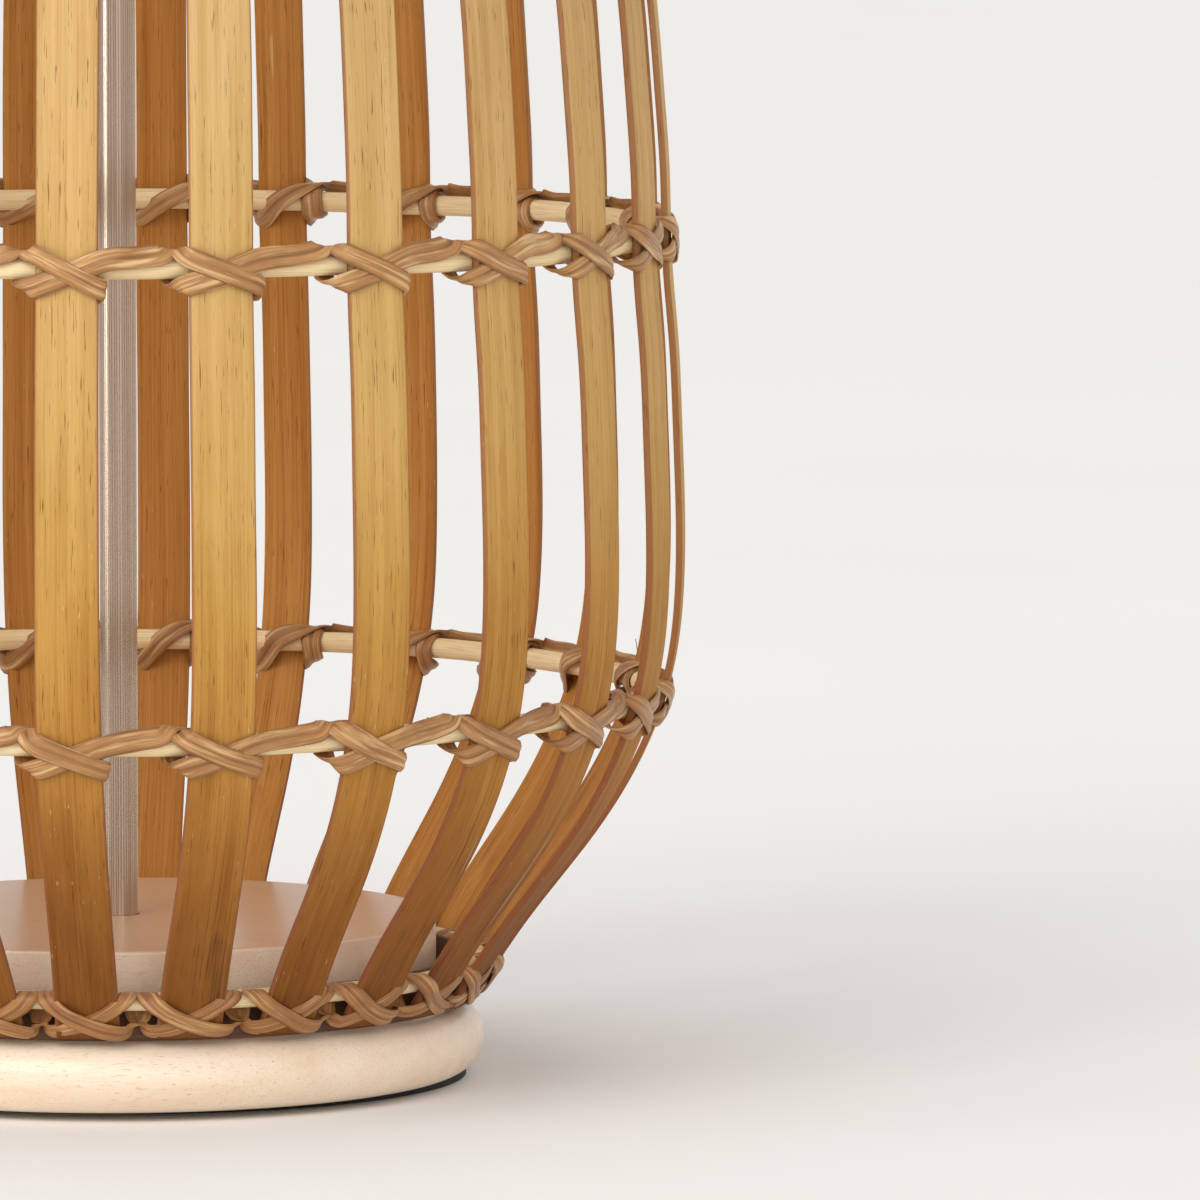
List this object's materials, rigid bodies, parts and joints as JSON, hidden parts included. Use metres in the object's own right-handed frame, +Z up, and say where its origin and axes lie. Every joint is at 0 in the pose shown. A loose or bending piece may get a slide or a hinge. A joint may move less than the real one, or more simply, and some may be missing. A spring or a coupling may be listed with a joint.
{
  "type": "table lamp",
  "caption": "Free-standing table lamp: a cage of bent bamboo slats lashed to rattan hoops over a stepped round wooden base with a central tube and lampholder.",
  "frame": {"origin": "on the floor, on the underside of the base pad, straight under the tube's axis", "axes": "+Z up along the tube; -Y is the front, the cord entry faces +Y"},
  "size_m": [0.3028, 0.3027, 0.4833],
  "materials": {
    "bamboo_slat": "golden tan bamboo, satin, fine lengthwise fibres, redder towards the foot",
    "rattan_core": "pale smooth rattan core, matt",
    "rattan_strap": "brown rattan peel strap, satin, lengthwise ridges",
    "dark_bamboo": "dark brown bamboo band, matt",
    "base_wood": "pale rubberwood, fine short pores, smooth satin",
    "base_pad": "near-black foam pad, matt",
    "satin_tube": "satin plated tube",
    "zinc_steel": "zinc plated",
    "grommet_plastic": "matt black",
    "holder_plastic": "moulded, fine grain",
    "porcelain": "unglazed white",
    "brass": "rolled",
    "bulb_glass": "clear",
    "cap_metal": "rolled",
    "cap_insulator": "glossy black",
    "filament": "phosphor coated"
  },
  "bodies": {
    "base": {"base_pad": "base_pad", "base_disc": "base_wood", "step_disc": "base_wood", "base_screws": "zinc_steel", "tube_nut_lower": "zinc_steel", "tube_washer_lower": "zinc_steel", "tube_locknut": "zinc_steel", "centre_tube": "satin_tube", "cord_grommet": "grommet_plastic", "lampholder_locknut": "zinc_steel", "lampholder_cup": "holder_plastic", "lampholder_grub_screw": "zinc_steel", "lampholder_body": "holder_plastic", "lampholder_insert": "porcelain", "lampholder_screw_shell": "brass", "lampholder_contact": "brass"},
    "cage": {"base_band": "dark_bamboo", "base_hoop": "rattan_core", "base_lashing": "rattan_strap", "high_hoop": "rattan_core", "high_lashing": "rattan_strap", "lower_hoop": "rattan_core", "lower_lashing": "rattan_strap", "middle_hoop": "rattan_core", "middle_lashing": "rattan_strap", "rim_hoop": "rattan_core", "rim_lashing": "rattan_strap", "slat_01": "bamboo_slat", "slat_02": "bamboo_slat", "slat_03": "bamboo_slat", "slat_04": "bamboo_slat", "slat_05": "bamboo_slat", "slat_06": "bamboo_slat", "slat_07": "bamboo_slat", "slat_08": "bamboo_slat", "slat_09": "bamboo_slat", "slat_10": "bamboo_slat", "slat_11": "bamboo_slat", "slat_12": "bamboo_slat", "slat_13": "bamboo_slat", "slat_14": "bamboo_slat", "slat_15": "bamboo_slat", "slat_16": "bamboo_slat", "slat_17": "bamboo_slat", "slat_18": "bamboo_slat", "slat_19": "bamboo_slat", "slat_20": "bamboo_slat", "slat_21": "bamboo_slat", "slat_22": "bamboo_slat", "slat_23": "bamboo_slat", "slat_24": "bamboo_slat"},
    "bulb_travel": {"bulb_contact": "cap_metal"},
    "bulb": {"bulb_glass": "bulb_glass", "bulb_cap": "cap_metal", "bulb_insulator": "cap_insulator", "bulb_stem": "bulb_glass", "bulb_filaments": "filament"}
  },
  "joints": [
    {"name": "cage_lift", "type": "slide", "parent": "base", "child": "cage", "axis": [0, 0, 1], "range_m": [0, 0.43]},
    {"name": "bulb_rise", "type": "slide", "parent": "base", "child": "bulb_travel", "axis": [0, 0, 1], "range_m": [0, 0.0218]},
    {"name": "bulb_turn", "type": "hinge", "parent": "bulb_travel", "child": "bulb", "pos_m": [0, 0, 0.34], "axis": [0, 0, 1], "range_deg": [0, 2160]}
  ],
  "couplings": [
    {"joint": "bulb_rise", "follows": "bulb_turn", "m_per_rad": 0.00057614}
  ]
}
